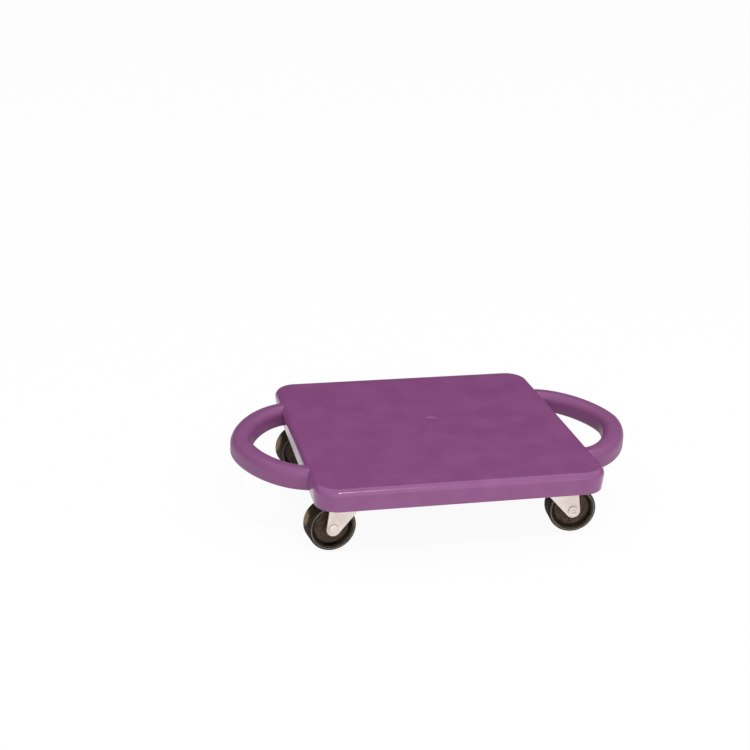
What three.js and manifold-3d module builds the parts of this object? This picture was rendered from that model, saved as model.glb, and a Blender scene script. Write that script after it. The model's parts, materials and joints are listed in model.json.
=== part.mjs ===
// A gym scooter board: one moulded square deck with a grip loop on each side, riding on four
// swivel casters that are screwed to pads under the deck.
// Millimetres, +Z up. The origin is on the floor under the middle of the deck, the grip loops
// lie along X, and the front edge of the deck faces -Y.
import * as THREE from "three";
import { mergeVertices } from "three/addons/utils/BufferGeometryUtils.js";
import Module from "manifold-3d";

const wasm = await Module();
wasm.setup();

// Deck moulding
const deckSide = 304.8;
const deckHeight = 23.2;
const deckCornerRadius = 25;
const deckEdgeRadius = 7;
const deckWall = 4.5;
const deckSkin = 4.5;
const gateRadius = 4;
const gateDepth = 0.5;

// Ribs under the deck
const ribThickness = 2.8;
const ribRecess = 5;
const padWall = 3;
const padMargin = 3;
const bossRadius = 5.2;

// Grip loops, whose middle line is a superellipse
const gripReach = 66.7;
const gripSpread = 86.9;
const gripPower = 1.68;
const gripWidth = 23.2;
const gripStep = 0.8;
const gripTopRadius = 7.4;
const gripLowRadius = 5;
const gripWall = 4;
const gripSkin = 4.5;
const gripCavityRadius = 3;
const gripRibRecess = 4;
const gripRibCount = 7;

// Caster places, in from the sides of the deck, and the way each one trails at rest in degrees
// from +X
const swivelInsetX = 42.4;
const swivelInsetY = 53.9;
const padRecess = 3.6;
const casters = [
  { name: "front_left", side: -1, end: -1, heading: 188.3 },
  { name: "front_right", side: 1, end: -1, heading: -5 },
  { name: "back_left", side: -1, end: 1, heading: 190 },
  { name: "back_right", side: 1, end: 1, heading: 12 },
];

// Caster top plate
const plateLength = 65;
const plateMargin = 3;
const plateThickness = 2;
const plateCornerRadius = 6;
const slotInsetLong = 7;
const slotInsetWide = 6.5;
const slotClearance = 0.6;
const slotTravel = 3;
const dishSlope = 2.2;
const dishLap = 0.6;

// Ball race, and the washer that holds the fork up to it
const raceRadius = 14;
const raceDrop = 5.4;
const raceLip = 1.2;
const raceGap = 0.4;
const ballRadius = 2.4;
const ballContactRadius = 0.7;
const washerClearance = 0.4;
const washerThickness = 1.8;

// King pin, riveted over at both ends
const pinRadius = 4;
const pinHeadRadius = 7;
const pinHeadHeight = 2.2;
const pinHeadDome = 0.7;
const pinPlay = 1.6;

// Fork
const forkThickness = 2;
const forkBendRadius = 3.4;
const forkRearReach = 23.5;
const legEndRadius = 7.6;
const trail = 20;
const wheelClearance = 3.6;

// Wheel
const wheelRadius = 25.4;
const wheelWidth = 22;
const wheelShoulder = 2.6;
const rimDepth = 3;
const rimSlope = 3.6;
const webThickness = 11;
const webFillet = 1.6;
const hubRadius = 9;
const hubProud = 0.3;
const hubPlay = 0.5;

// Axle
const axleRadius = 3.1;
const axleHeadRadius = 5.2;
const axleHeadHeight = 1.7;
const axleDimpleRadius = 2.4;
const axleDimpleDepth = 1;
const sleeveWall = 1.1;

// Screws that hold a plate to its pad
const screwRadius = 2.3;
const screwLength = 14;
const screwHeadRadius = 4.5;
const screwHeadHeight = 2.6;
const screwHeadDome = 0.8;
const screwTip = 2;

// Clearances
const seatGap = 0.3;
const runningGap = 0.3;
const overrun = 2;

// Facet counts
const cornerSteps = 5;
const edgeSteps = 4;
const gripSteps = 16;
const gripTopSteps = 3;
const gripLowSteps = 2;
const hollowSteps = 1;
const wheelSides = 24;
const raceSides = 16;
const raceSteps = 3;
const pinSides = 8;
const ballSides = 4;
const holeSides = 8;
const screwSides = 6;
const bendSteps = 2;

// Heights worked out from the sizes above, from the wheel up
const crownUnderside = wheelRadius * 2 + wheelClearance;
const crownTop = crownUnderside + forkThickness;
const ballHeight = crownTop + raceLip;
const dishUnderside = ballHeight + raceLip;
const dishTop = dishUnderside + plateThickness;
const plateUnderside = ballHeight + raceDrop;
const casterHeight = plateUnderside + plateThickness;
const rimHeight = casterHeight - padRecess;
const deckTop = rimHeight + deckHeight;
const padHeight = casterHeight + seatGap;
const skinUnderside = deckTop - deckSkin;
const washerTop = crownUnderside - seatGap;
const washerUnderside = washerTop - washerThickness;

// Places and widths worked out from the sizes above
const swivelX = deckSide / 2 - swivelInsetX;
const swivelY = deckSide / 2 - swivelInsetY;
const grooveRadius = ballRadius + raceGap;
const ballCount = Math.floor(Math.PI / Math.asin(ballRadius / raceRadius));
const raceOuterRadius = raceRadius + grooveRadius + forkThickness;
const raceInnerRadius = raceRadius - grooveRadius - forkThickness;
const dishRadius = raceOuterRadius + dishSlope;
const plateWidth = (dishRadius + plateMargin) * 2;
const slotSpacingLong = plateLength - slotInsetLong * 2;
const slotSpacingWide = plateWidth - slotInsetWide * 2;
const washerRadius = raceInnerRadius - washerClearance;
const pinBore = pinRadius + pinPlay;
const hubEnd = wheelWidth / 2 + hubProud;
const legInside = hubEnd + hubPlay;
const legOutside = legInside + forkThickness;
const sleeveBore = axleRadius + runningGap;
const sleeveRadius = sleeveBore + sleeveWall;
const hubBore = sleeveRadius + runningGap;
const screwClearRadius = screwRadius + slotClearance;

// Closed geometry with its corners shared and its faces turned outward
function weld(geometry) {
  const bare = geometry.clone();
  bare.deleteAttribute("normal");
  bare.deleteAttribute("uv");
  const welded = mergeVertices(bare);
  const corner = [new THREE.Vector3(), new THREE.Vector3(), new THREE.Vector3()];
  const index = welded.index.array;
  let volume = 0;
  for (let i = 0; i < index.length; i += 3) {
    corner.forEach((point, k) => point.fromBufferAttribute(welded.attributes.position, index[i + k]));
    volume += corner[0].dot(corner[1].cross(corner[2]));
  }
  if (volume < 0) {
    for (let i = 0; i < index.length; i += 3) {
      [index[i], index[i + 1]] = [index[i + 1], index[i]];
    }
  }
  return welded;
}

function toSolid(geometry) {
  const welded = weld(geometry);
  const vertProperties = new Float32Array(welded.attributes.position.array);
  const triVerts = new Uint32Array(welded.index.array);
  return new wasm.Manifold(new wasm.Mesh({ numProp: 3, vertProperties, triVerts }));
}

function toGeometry(solid) {
  const mesh = solid.getMesh();
  const geometry = new THREE.BufferGeometry();
  geometry.setAttribute("position", new THREE.BufferAttribute(new Float32Array(mesh.vertProperties), 3));
  geometry.setIndex(new THREE.BufferAttribute(new Uint32Array(mesh.triVerts), 1));
  geometry.computeVertexNormals();
  return geometry;
}

function joined(solids) {
  return solids.reduce((whole, piece) => whole.add(piece));
}

function cutBy(solid, tools) {
  return tools.reduce((left, tool) => left.subtract(tool), solid);
}

// A block between two heights
function block(xSize, ySize, low, high, x = 0, y = 0) {
  const box = new THREE.BoxGeometry(xSize, ySize, high - low);
  return toSolid(box.translate(x, y, (low + high) / 2));
}

// An upright round bar between two heights
function rod(radius, low, high, sides, x = 0, y = 0) {
  const bar = new THREE.CylinderGeometry(radius, radius, high - low, sides);
  bar.rotateX(Math.PI / 2);
  return toSolid(bar.translate(x, y, (low + high) / 2));
}

// A profile of [radius, height] points turned round the upright axis
function turned(profile, sides) {
  const points = profile.map(([radius, height]) => new THREE.Vector2(radius, height));
  return new THREE.LatheGeometry(points, sides).rotateX(Math.PI / 2);
}

// Points along an arc, from one angle to the other in degrees
function arc(x, y, radius, from, to, steps) {
  const points = [];
  for (let step = 0; step <= steps; step += 1) {
    const angle = THREE.MathUtils.degToRad(from + ((to - from) * step) / steps);
    points.push([x + radius * Math.cos(angle), y + radius * Math.sin(angle)]);
  }
  return points;
}

function shapeFrom(points) {
  return new THREE.Shape(points.map(([x, y]) => new THREE.Vector2(x, y)));
}

function roundedRectangle(xSize, ySize, radius, steps) {
  const x = xSize / 2 - radius;
  const y = ySize / 2 - radius;
  return shapeFrom([
    ...arc(x, y, radius, 0, 90, steps),
    ...arc(-x, y, radius, 90, 180, steps),
    ...arc(-x, -y, radius, 180, 270, steps),
    ...arc(x, -y, radius, 270, 360, steps),
  ]);
}

// An upright block with round corners, whose top edge is rounded by edgeRadius
function roundTopBlock(side, cornerRadius, edgeRadius, steps, low, top) {
  const depth = top - low;
  const body = new THREE.ExtrudeGeometry(roundedRectangle(side, side, cornerRadius, cornerSteps), {
    depth,
    bevelThickness: edgeRadius,
    bevelSize: edgeRadius,
    bevelOffset: -edgeRadius,
    bevelSegments: steps,
  });
  body.translate(0, 0, top - edgeRadius - depth);
  return toSolid(body).intersect(block(side * 2, side * 2, low, top + overrun));
}

// The middle line of a grip loop, from one root in the deck wall round to the other
class LoopLine extends THREE.Curve {
  constructor(side) {
    super();
    this.side = side;
    this.rootX = deckSide / 2 - deckWall;
    this.reach = gripReach + deckWall - gripWidth / 2;
  }

  getPoint(share, target = new THREE.Vector3()) {
    const angle = (share - 1 / 2) * Math.PI;
    const across = Math.cos(angle);
    const along = Math.sin(angle);
    const x = this.rootX + this.reach * Math.abs(across) ** (2 / gripPower);
    const y = gripSpread * Math.sign(along) * Math.abs(along) ** (2 / gripPower);
    return target.set(this.side * x, -this.side * y, deckTop - gripStep);
  }
}

// Section of a grip: first coordinate is down from its top face, second is across
function gripSection(width, height, topRadius, lowRadius) {
  const half = width / 2;
  return shapeFrom([
    ...arc(height - lowRadius, half - lowRadius, lowRadius, 0, 90, gripLowSteps),
    ...arc(topRadius, half - topRadius, topRadius, 90, 180, gripTopSteps),
    ...arc(topRadius, topRadius - half, topRadius, 180, 270, gripTopSteps),
    ...arc(height - lowRadius, lowRadius - half, lowRadius, 270, 360, gripLowSteps),
  ]);
}

// Section of the hollow that is open below
function gripHollowSection(width, height, radius) {
  const half = width / 2;
  const low = height + overrun;
  return shapeFrom([
    [low, half],
    ...arc(gripSkin + radius, half - radius, radius, 90, 180, hollowSteps),
    ...arc(gripSkin + radius, radius - half, radius, 180, 270, hollowSteps),
    [low, -half],
  ]);
}

function alongLoop(section, line) {
  return toSolid(new THREE.ExtrudeGeometry(section, { steps: gripSteps, extrudePath: line }));
}

// Cross ribs that stiffen the hollow of a grip
function gripRibs(line) {
  const ribs = [];
  const low = rimHeight + gripRibRecess;
  const high = deckTop - gripStep - gripSkin / 2;
  for (let count = 1; count <= gripRibCount; count += 1) {
    const share = count / (gripRibCount + 1);
    const middle = line.getPointAt(share);
    const heading = line.getTangentAt(share);
    const rib = new THREE.BoxGeometry(ribThickness, gripWidth - gripWall, high - low);
    rib.rotateZ(Math.atan2(heading.y, heading.x));
    ribs.push(toSolid(rib.translate(middle.x, middle.y, (low + high) / 2)));
  }
  return ribs;
}

// The frame, cross ribs and screw bosses that carry one caster plate
function casterPad(x, y) {
  const length = plateLength + padMargin * 2;
  const width = plateWidth + padMargin * 2;
  const top = skinUnderside + deckSkin / 2;
  const frame = block(width, length, padHeight, top, x, y).subtract(
    block(width - padWall * 2, length - padWall * 2, padHeight - overrun, top + overrun, x, y),
  );
  const ribLow = padHeight + ribRecess - padRecess;
  const pieces = [
    frame,
    block(width - padWall, ribThickness, ribLow, top, x, y),
    block(ribThickness, length - padWall, ribLow, top, x, y),
  ];
  for (const [alongX, alongY] of screwPlaces()) {
    pieces.push(rod(bossRadius, padHeight, top, holeSides, x + alongX, y + alongY));
  }
  return joined(pieces);
}

function screwPlaces() {
  const x = slotSpacingWide / 2;
  const y = slotSpacingLong / 2;
  return [[-x, -y], [x, -y], [x, y], [-x, y]];
}

function makeDeck() {
  const body = roundTopBlock(deckSide, deckCornerRadius, deckEdgeRadius, edgeSteps, rimHeight, deckTop);
  const hollow = roundTopBlock(
    deckSide - deckWall * 2,
    deckCornerRadius - deckWall,
    deckEdgeRadius - deckWall,
    hollowSteps,
    rimHeight - overrun,
    skinUnderside,
  );
  const loops = [new LoopLine(-1), new LoopLine(1)];
  const gripHeight = deckHeight - gripStep;
  const gripOuter = gripSection(gripWidth, gripHeight, gripTopRadius, gripLowRadius);
  const gripInner = gripHollowSection(gripWidth - gripWall * 2, gripHeight, gripCavityRadius);
  const grips = loops.map((line) => alongLoop(gripOuter, line));
  const outside = joined([body, ...grips]);
  const gripHollows = loops.map((line) => alongLoop(gripInner, line).subtract(body));
  const shell = cutBy(outside, [hollow, ...gripHollows]);

  const ribLow = rimHeight + ribRecess;
  const ribHigh = skinUnderside + deckSkin / 2;
  const ribLength = deckSide - deckWall;
  const padHalfWidth = plateWidth / 2 + padMargin - padWall / 2;
  const padHalfLength = plateLength / 2 + padMargin - padWall / 2;
  const ribs = [];
  for (const x of [-swivelX + padHalfWidth, 0, swivelX - padHalfWidth]) {
    ribs.push(block(ribThickness, ribLength, ribLow, ribHigh, x, 0));
  }
  for (const y of [-swivelY + padHalfLength, 0, swivelY - padHalfLength]) {
    ribs.push(block(ribLength, ribThickness, ribLow, ribHigh, 0, y));
  }
  for (const x of [-swivelX - padHalfWidth, swivelX + padHalfWidth]) {
    ribs.push(block(ribThickness, swivelY * 2, ribLow, ribHigh, x, 0));
  }
  for (const y of [-swivelY - padHalfLength, swivelY + padHalfLength]) {
    ribs.push(block(swivelX * 2, ribThickness, ribLow, ribHigh, 0, y));
  }
  const pads = casters.map(({ side, end }) => casterPad(side * swivelX, end * swivelY));
  const screwHoles = casters.flatMap(({ side, end }) =>
    screwPlaces().map(([x, y]) =>
      rod(
        screwRadius + runningGap,
        padHeight - overrun,
        plateUnderside + screwLength + seatGap,
        screwSides,
        side * swivelX + x,
        end * swivelY + y,
      ),
    ),
  );
  const gate = rod(gateRadius, deckTop - gateDepth, deckTop + overrun, pinSides);
  const gripRibPieces = loops.flatMap((line) => gripRibs(line));
  return cutBy(joined([shell, ...ribs, ...pads, ...gripRibPieces]), [...screwHoles, gate]);
}

// Pressed steel top plate: flat with four slots, and a dish in the middle that is the upper race
function makePlate() {
  const sheet = roundedRectangle(plateWidth, plateLength, plateCornerRadius, bendSteps);
  for (const [x, y] of screwPlaces()) {
    const half = slotTravel / 2;
    sheet.holes.push(shapeFrom([
      ...arc(x + half, y, screwClearRadius, -90, 90, bendSteps),
      ...arc(x - half, y, screwClearRadius, 90, 270, bendSteps),
    ]));
  }
  sheet.holes.push(shapeFrom(arc(0, 0, dishRadius - dishLap, 0, 360, raceSides).slice(0, -1)));
  const flat = new THREE.ExtrudeGeometry(sheet, { depth: plateThickness, bevelEnabled: false });
  flat.translate(0, 0, plateUnderside);
  const groove = THREE.MathUtils.radToDeg(Math.asin(raceLip / grooveRadius));
  const dish = turned([
    [pinRadius + runningGap, dishUnderside],
    ...arc(raceRadius, ballHeight, grooveRadius, 180 - groove, groove, raceSteps),
    [raceOuterRadius, dishUnderside],
    [dishRadius, plateUnderside],
    [dishRadius, casterHeight],
    [raceRadius, ballHeight + grooveRadius + plateThickness],
    [raceInnerRadius, dishTop],
    [pinRadius + runningGap, dishTop],
    [pinRadius + runningGap, dishUnderside],
  ], raceSides);
  return toSolid(flat).add(toSolid(dish));
}

// The full ring of balls, each touching the next at a small flat: a torus whose tube swells to
// the ball radius at every other ring of points and narrows to the contact between them
function makeBallRing() {
  const ring = new THREE.TorusGeometry(raceRadius, ballRadius, ballSides, ballCount * 2);
  const places = ring.attributes.position;
  for (let i = 0; i < places.count; i += 1) {
    const angle = Math.atan2(places.getY(i), places.getX(i));
    const atContact = Math.round((angle / Math.PI) * ballCount) % 2 !== 0;
    const share = atContact ? ballContactRadius / ballRadius : 1;
    const out = (Math.hypot(places.getX(i), places.getY(i)) - raceRadius) * share + raceRadius;
    places.setXYZ(i, out * Math.cos(angle), out * Math.sin(angle), places.getZ(i) * share + ballHeight);
  }
  return ring;
}

// Plain washer on the king pin, which keeps the fork up against the balls
function makeWasher() {
  return turned([
    [pinRadius + runningGap, washerUnderside],
    [washerRadius, washerUnderside],
    [washerRadius, washerTop],
    [pinRadius + runningGap, washerTop],
    [pinRadius + runningGap, washerUnderside],
  ], pinSides);
}

function makeKingPin() {
  const topSeat = dishTop + seatGap;
  const lowSeat = washerUnderside - seatGap;
  return turned([
    [0, lowSeat - pinHeadHeight],
    [pinHeadRadius - pinHeadDome, lowSeat - pinHeadHeight],
    [pinHeadRadius, lowSeat - pinHeadHeight + pinHeadDome],
    [pinHeadRadius, lowSeat],
    [pinRadius, lowSeat],
    [pinRadius, topSeat],
    [pinHeadRadius, topSeat],
    [pinHeadRadius, topSeat + pinHeadHeight - pinHeadDome],
    [pinHeadRadius - pinHeadDome, topSeat + pinHeadHeight],
    [0, topSeat + pinHeadHeight],
  ], pinSides);
}

// Where a straight line from a point meets the round end of a leg, as an angle in degrees.
// turn is 1 for the touching point that comes first going round with the angle, -1 for the other.
function touchAngle(x, y, radius, turn) {
  const toPoint = Math.atan2(y, x);
  const open = Math.acos(radius / Math.hypot(x, y));
  return THREE.MathUtils.radToDeg(toPoint - turn * open);
}

// The side outline of the fork, with the axle at x = trail
function forkOutline() {
  const top = crownTop + overrun - wheelRadius;
  const rearX = forkRearReach - trail;
  const frontX = -raceOuterRadius - trail;
  const rearTouch = touchAngle(rearX, crownTop - wheelRadius, legEndRadius, 1);
  const frontTouch = touchAngle(frontX, crownTop - wheelRadius, legEndRadius, -1);
  const points = [
    [rearX, top],
    [frontX, top],
    [frontX, crownTop - wheelRadius],
    ...arc(0, 0, legEndRadius, frontTouch, rearTouch + 360, cornerSteps),
    [rearX, crownTop - wheelRadius],
  ];
  return shapeFrom(points.map(([x, height]) => [x + trail, height + wheelRadius]));
}

// Across the fork: a crown and two legs bent down from one sheet
function forkBend() {
  const inner = forkBendRadius - forkThickness;
  const x = legOutside - forkBendRadius;
  const y = crownTop - forkBendRadius;
  return shapeFrom([
    [legOutside, 0],
    ...arc(x, y, forkBendRadius, 0, 90, bendSteps),
    ...arc(-x, y, forkBendRadius, 90, 180, bendSteps),
    [-legOutside, 0],
    [-legInside, 0],
    ...arc(-x, y, inner, 180, 90, bendSteps),
    ...arc(x, y, inner, 90, 0, bendSteps),
    [legInside, 0],
  ]);
}

// Pressed steel fork: two tapering legs and a crown pressed with the lower ball race
function makeFork() {
  const length = (forkRearReach + raceOuterRadius) * 2;
  const bend = new THREE.ExtrudeGeometry(forkBend(), { depth: length, bevelEnabled: false });
  bend.rotateX(Math.PI / 2).rotateZ(Math.PI / 2).translate(-length / 2, 0, 0);
  const side = new THREE.ExtrudeGeometry(forkOutline(), {
    depth: (legOutside + overrun) * 2,
    bevelEnabled: false,
  });
  side.rotateX(Math.PI / 2).translate(0, legOutside + overrun, 0);
  const yoke = toSolid(bend).intersect(toSolid(side));

  const groove = THREE.MathUtils.radToDeg(Math.asin(raceLip / grooveRadius));
  const race = turned([
    [pinBore, crownUnderside],
    [raceInnerRadius, crownUnderside],
    [raceRadius - grooveRadius, ballHeight - grooveRadius - forkThickness],
    [raceRadius + grooveRadius, ballHeight - grooveRadius - forkThickness],
    [raceOuterRadius, crownUnderside],
    [raceOuterRadius, crownTop],
    ...arc(raceRadius, ballHeight, grooveRadius, -groove, groove - 180, raceSteps),
    [pinBore, crownTop],
    [pinBore, crownUnderside],
  ], raceSides);
  const seat = rod(raceOuterRadius - dishLap, crownUnderside - overrun, crownTop + overrun, raceSides);
  const axleHole = new THREE.CylinderGeometry(
    axleRadius + runningGap,
    axleRadius + runningGap,
    (legOutside + overrun) * 2,
    holeSides,
  ).translate(trail, 0, wheelRadius);
  return yoke.subtract(seat).add(toSolid(race)).subtract(toSolid(axleHole));
}

// Half section of the wheel as [radius, half width] from the bore outwards
function wheelHalfSection() {
  const face = wheelWidth / 2;
  const web = webThickness / 2;
  const flat = 1 / Math.cos(Math.PI / wheelSides);
  const tread = wheelRadius * flat;
  return [
    [hubBore, hubEnd],
    [hubRadius, hubEnd],
    [hubRadius + webFillet, web],
    [wheelRadius - rimDepth - rimSlope, web],
    [wheelRadius - rimDepth, face],
    [tread - wheelShoulder / 2, face],
    [tread, face - wheelShoulder],
  ];
}

// The wheel turns round its local Y axis, with a flat of the tread downwards
function makeWheel() {
  const half = wheelHalfSection();
  const other = half.map(([radius, y]) => [radius, -y]).reverse();
  const profile = [...half, ...other, half[0]].map(([radius, y]) => new THREE.Vector2(radius, y));
  const wheel = new THREE.LatheGeometry(profile, wheelSides, Math.PI / wheelSides);
  return wheel.translate(trail, 0, wheelRadius);
}

// A profile of [radius, place along the axle] points turned round the axle
function onAxle(profile, sides) {
  const points = profile.map(([radius, y]) => new THREE.Vector2(radius, y));
  return new THREE.LatheGeometry(points, sides).translate(trail, 0, wheelRadius);
}

function makeSleeve() {
  const end = legInside - seatGap;
  return onAxle([
    [sleeveBore, -end],
    [sleeveRadius, -end],
    [sleeveRadius, end],
    [sleeveBore, end],
    [sleeveBore, -end],
  ], pinSides);
}

// Axle rivet with a domed head on each leg, one of them rolled over round a dimple
function makeAxle() {
  const seat = legOutside + seatGap;
  const end = seat + axleHeadHeight;
  return onAxle([
    [0, axleDimpleDepth - end],
    [axleDimpleRadius, axleDimpleDepth - end],
    [axleDimpleRadius + axleDimpleDepth / 2, -end],
    [axleHeadRadius, -seat - axleHeadHeight / 2],
    [axleHeadRadius, -seat],
    [axleRadius, -seat],
    [axleRadius, seat],
    [axleHeadRadius, seat],
    [axleHeadRadius, seat + axleHeadHeight / 2],
    [axleHeadRadius - axleHeadHeight / 2, end],
    [0, end],
  ], pinSides);
}

// Pan head screw driven up through a slot of the plate
function makeScrew() {
  const seat = plateUnderside - seatGap;
  return turned([
    [0, seat - screwHeadHeight],
    [screwHeadRadius - screwHeadDome, seat - screwHeadHeight],
    [screwHeadRadius, seat],
    [screwRadius, seat],
    [screwRadius, plateUnderside + screwLength - screwTip],
    [0, plateUnderside + screwLength],
  ], screwSides);
}

function finish(color, roughness, metalness) {
  return new THREE.MeshStandardMaterial({ color, roughness, metalness });
}

function named(name, geometry, material) {
  const mesh = new THREE.Mesh(geometry, material);
  mesh.name = name;
  return mesh;
}

const zincPlate = [0xcfc6bd, 0.36, 0.9];
const ballSteel = [0xb9bcc0, 0.2, 1];
const blackWheel = [0x1c1815, 0.42, 0];
const purplePlastic = [0x834b7b, 0.4, 0];

// One caster at its place on the deck, trailing along its heading
function makeCaster({ name, side, end, heading }) {
  const fixed = new THREE.Group();
  fixed.position.set(side * swivelX, end * swivelY, 0);
  fixed.add(
    named(`${name}_plate`, toGeometry(makePlate()), finish(...zincPlate)),
    named(`${name}_washer`, weld(makeWasher()), finish(...zincPlate)),
    named(`${name}_king_pin`, weld(makeKingPin()), finish(...zincPlate)),
  );
  screwPlaces().forEach(([x, y], place) => {
    const screw = named(`${name}_screw_${place + 1}`, weld(makeScrew()), finish(...zincPlate));
    screw.position.set(x, y, 0);
    fixed.add(screw);
  });
  const swivel = new THREE.Group();
  swivel.rotation.z = THREE.MathUtils.degToRad(heading);
  swivel.add(
    named(`${name}_balls`, weld(makeBallRing()), finish(...ballSteel)),
    named(`${name}_fork`, toGeometry(makeFork()), finish(...zincPlate)),
    named(`${name}_wheel`, weld(makeWheel()), finish(...blackWheel)),
    named(`${name}_sleeve`, weld(makeSleeve()), finish(...ballSteel)),
    named(`${name}_axle`, weld(makeAxle()), finish(...zincPlate)),
  );
  fixed.add(swivel);
  return fixed;
}

const board = new THREE.Group();
board.add(named("deck", toGeometry(makeDeck()), finish(...purplePlastic)));
casters.forEach((caster) => board.add(makeCaster(caster)));

export default board;
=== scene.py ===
import json
import math

import bmesh
import bpy
from mathutils import Matrix, Vector


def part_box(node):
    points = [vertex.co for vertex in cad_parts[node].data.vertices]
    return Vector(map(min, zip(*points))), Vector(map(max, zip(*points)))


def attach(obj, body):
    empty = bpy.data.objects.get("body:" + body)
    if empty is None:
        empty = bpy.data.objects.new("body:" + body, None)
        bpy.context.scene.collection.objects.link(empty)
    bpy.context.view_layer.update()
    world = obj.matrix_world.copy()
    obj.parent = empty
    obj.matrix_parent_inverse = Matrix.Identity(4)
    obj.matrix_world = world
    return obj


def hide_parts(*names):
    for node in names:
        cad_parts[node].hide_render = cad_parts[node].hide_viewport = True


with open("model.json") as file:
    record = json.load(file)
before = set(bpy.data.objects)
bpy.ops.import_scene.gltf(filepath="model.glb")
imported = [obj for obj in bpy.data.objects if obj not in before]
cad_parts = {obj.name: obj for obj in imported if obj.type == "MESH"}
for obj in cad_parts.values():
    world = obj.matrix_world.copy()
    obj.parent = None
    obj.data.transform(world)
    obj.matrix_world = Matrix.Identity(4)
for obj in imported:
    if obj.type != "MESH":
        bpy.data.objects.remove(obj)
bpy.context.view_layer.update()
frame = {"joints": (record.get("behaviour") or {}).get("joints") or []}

# Camera. It stands low at the front, a little to the left of the board, and was set from the
# outline of the deck, the grips and the two front wheels. It is rolled a little clockwise.
mm = 0.001
view_azimuth = -12.63
view_elevation = 20.45
view_roll = math.radians(1.5)
camera_place = Vector((-369.375, -1365.384, 668.531)) * mm
focal_pixels = 1395.38
frame_pixels = 750


def way_to(azimuth, elevation):
    """The way from the board to something that stands off it, with both angles in degrees."""
    turn, lift = math.radians(azimuth), math.radians(elevation)
    flat = math.cos(lift)
    return Vector((math.sin(turn) * flat, -math.cos(turn) * flat, math.sin(lift)))


def link_object(name, data):
    made = bpy.data.objects.new(name, data)
    scene.collection.objects.link(made)
    return made


scene = bpy.context.scene
camera = bpy.data.cameras.new("view_camera")
camera.sensor_width = 36
camera.lens = focal_pixels / frame_pixels * camera.sensor_width
camera.clip_end = 100
away = way_to(view_azimuth, view_elevation)
right = (-away).cross(Vector((0, 0, 1))).normalized()
up = right.cross(-away)
camera_right = math.cos(view_roll) * right + math.sin(view_roll) * up
camera_up = math.cos(view_roll) * up - math.sin(view_roll) * right
camera_turn = Matrix((camera_right, camera_up, away)).transposed()
camera_object = link_object("view_camera", camera)
camera_object.matrix_world = Matrix.Translation(camera_place) @ camera_turn.to_4x4()
scene.camera = camera_object
scene.view_settings.view_transform = "Standard"

# Studio. A wide white table that keeps a soft shadow, a room that is dim low down and bright
# overhead and a little to the front, two small lamps that give highlights, and two broad fills.
floor_half = 40.0
floor_grey = 0.82
floor_glow = 0.94
wall_light = 0.02
ceiling_light = 0.97
ceiling_lean = math.radians(25)
dim_until = 0.08
bright_from = 0.42
lamp_target = Vector((0, 0, 60)) * mm


def linear(red, green, blue):
    """A colour given as 0 to 255 screen levels, as the four numbers that a node takes."""
    def channel(level):
        share = level / 255
        return share / 12.92 if share <= 0.04045 else ((share + 0.055) / 1.055) ** 2.4
    return (channel(red), channel(green), channel(blue), 1)


def add(tree, kind, inputs=None, **settings):
    """A node whose inputs are linked where a socket is given and set where a value is given."""
    node = tree.nodes.new(kind)
    for name, value in settings.items():
        setattr(node, name, value)
    for key, value in (inputs or {}).items():
        if isinstance(value, bpy.types.NodeSocket):
            tree.links.new(value, node.inputs[key])
        else:
            node.inputs[key].default_value = value
    return node


def math_node(tree, operation, *values, clamp=False):
    inputs = dict(enumerate(values))
    return add(tree, "ShaderNodeMath", inputs, operation=operation, use_clamp=clamp).outputs[0]


def plus(tree, first, second):
    return math_node(tree, "ADD", first, second)


def times(tree, first, second):
    return math_node(tree, "MULTIPLY", first, second)


def vector_node(tree, operation, *values):
    """A new vector, or the one number that a length, a distance or a dot product gives."""
    node = add(tree, "ShaderNodeVectorMath", dict(enumerate(values)), operation=operation)
    return node.outputs["Value" if operation in ("LENGTH", "DISTANCE", "DOT_PRODUCT") else "Vector"]


def mixed(tree, share, first, second):
    return add(tree, "ShaderNodeMixShader", {0: share, 1: first.outputs[0], 2: second.outputs[0]})


def as_object(name, solid):
    mesh = bpy.data.meshes.new(name)
    solid.to_mesh(mesh)
    solid.free()
    return link_object(name, mesh)


table = bmesh.new()
bmesh.ops.create_grid(table, x_segments=4, y_segments=4, size=floor_half)
floor = as_object("studio_table", table)

table_finish = bpy.data.materials.new("table_white")
table_finish.use_nodes = True
tree = table_finish.node_tree
tree.nodes.clear()
rays = add(tree, "ShaderNodeLightPath")
seen = plus(tree, rays.outputs["Is Camera Ray"], rays.outputs["Is Glossy Ray"])
seen = math_node(tree, "ADD", seen, rays.outputs["Is Transmission Ray"], clamp=True)
grey = (floor_grey, floor_grey, floor_grey, 1)
matt = add(tree, "ShaderNodeBsdfDiffuse", {"Color": grey})
bright = add(tree, "ShaderNodeEmission", {"Color": (1, 1, 1, 1), "Strength": 1.0})
glowing = mixed(tree, times(tree, seen, floor_glow), matt, bright)
below = add(tree, "ShaderNodeNewGeometry").outputs["Backfacing"]
one_way = mixed(tree, below, glowing, add(tree, "ShaderNodeBsdfTransparent"))
add(tree, "ShaderNodeOutputMaterial", {"Surface": one_way.outputs[0]})
floor.data.materials.append(table_finish)

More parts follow.
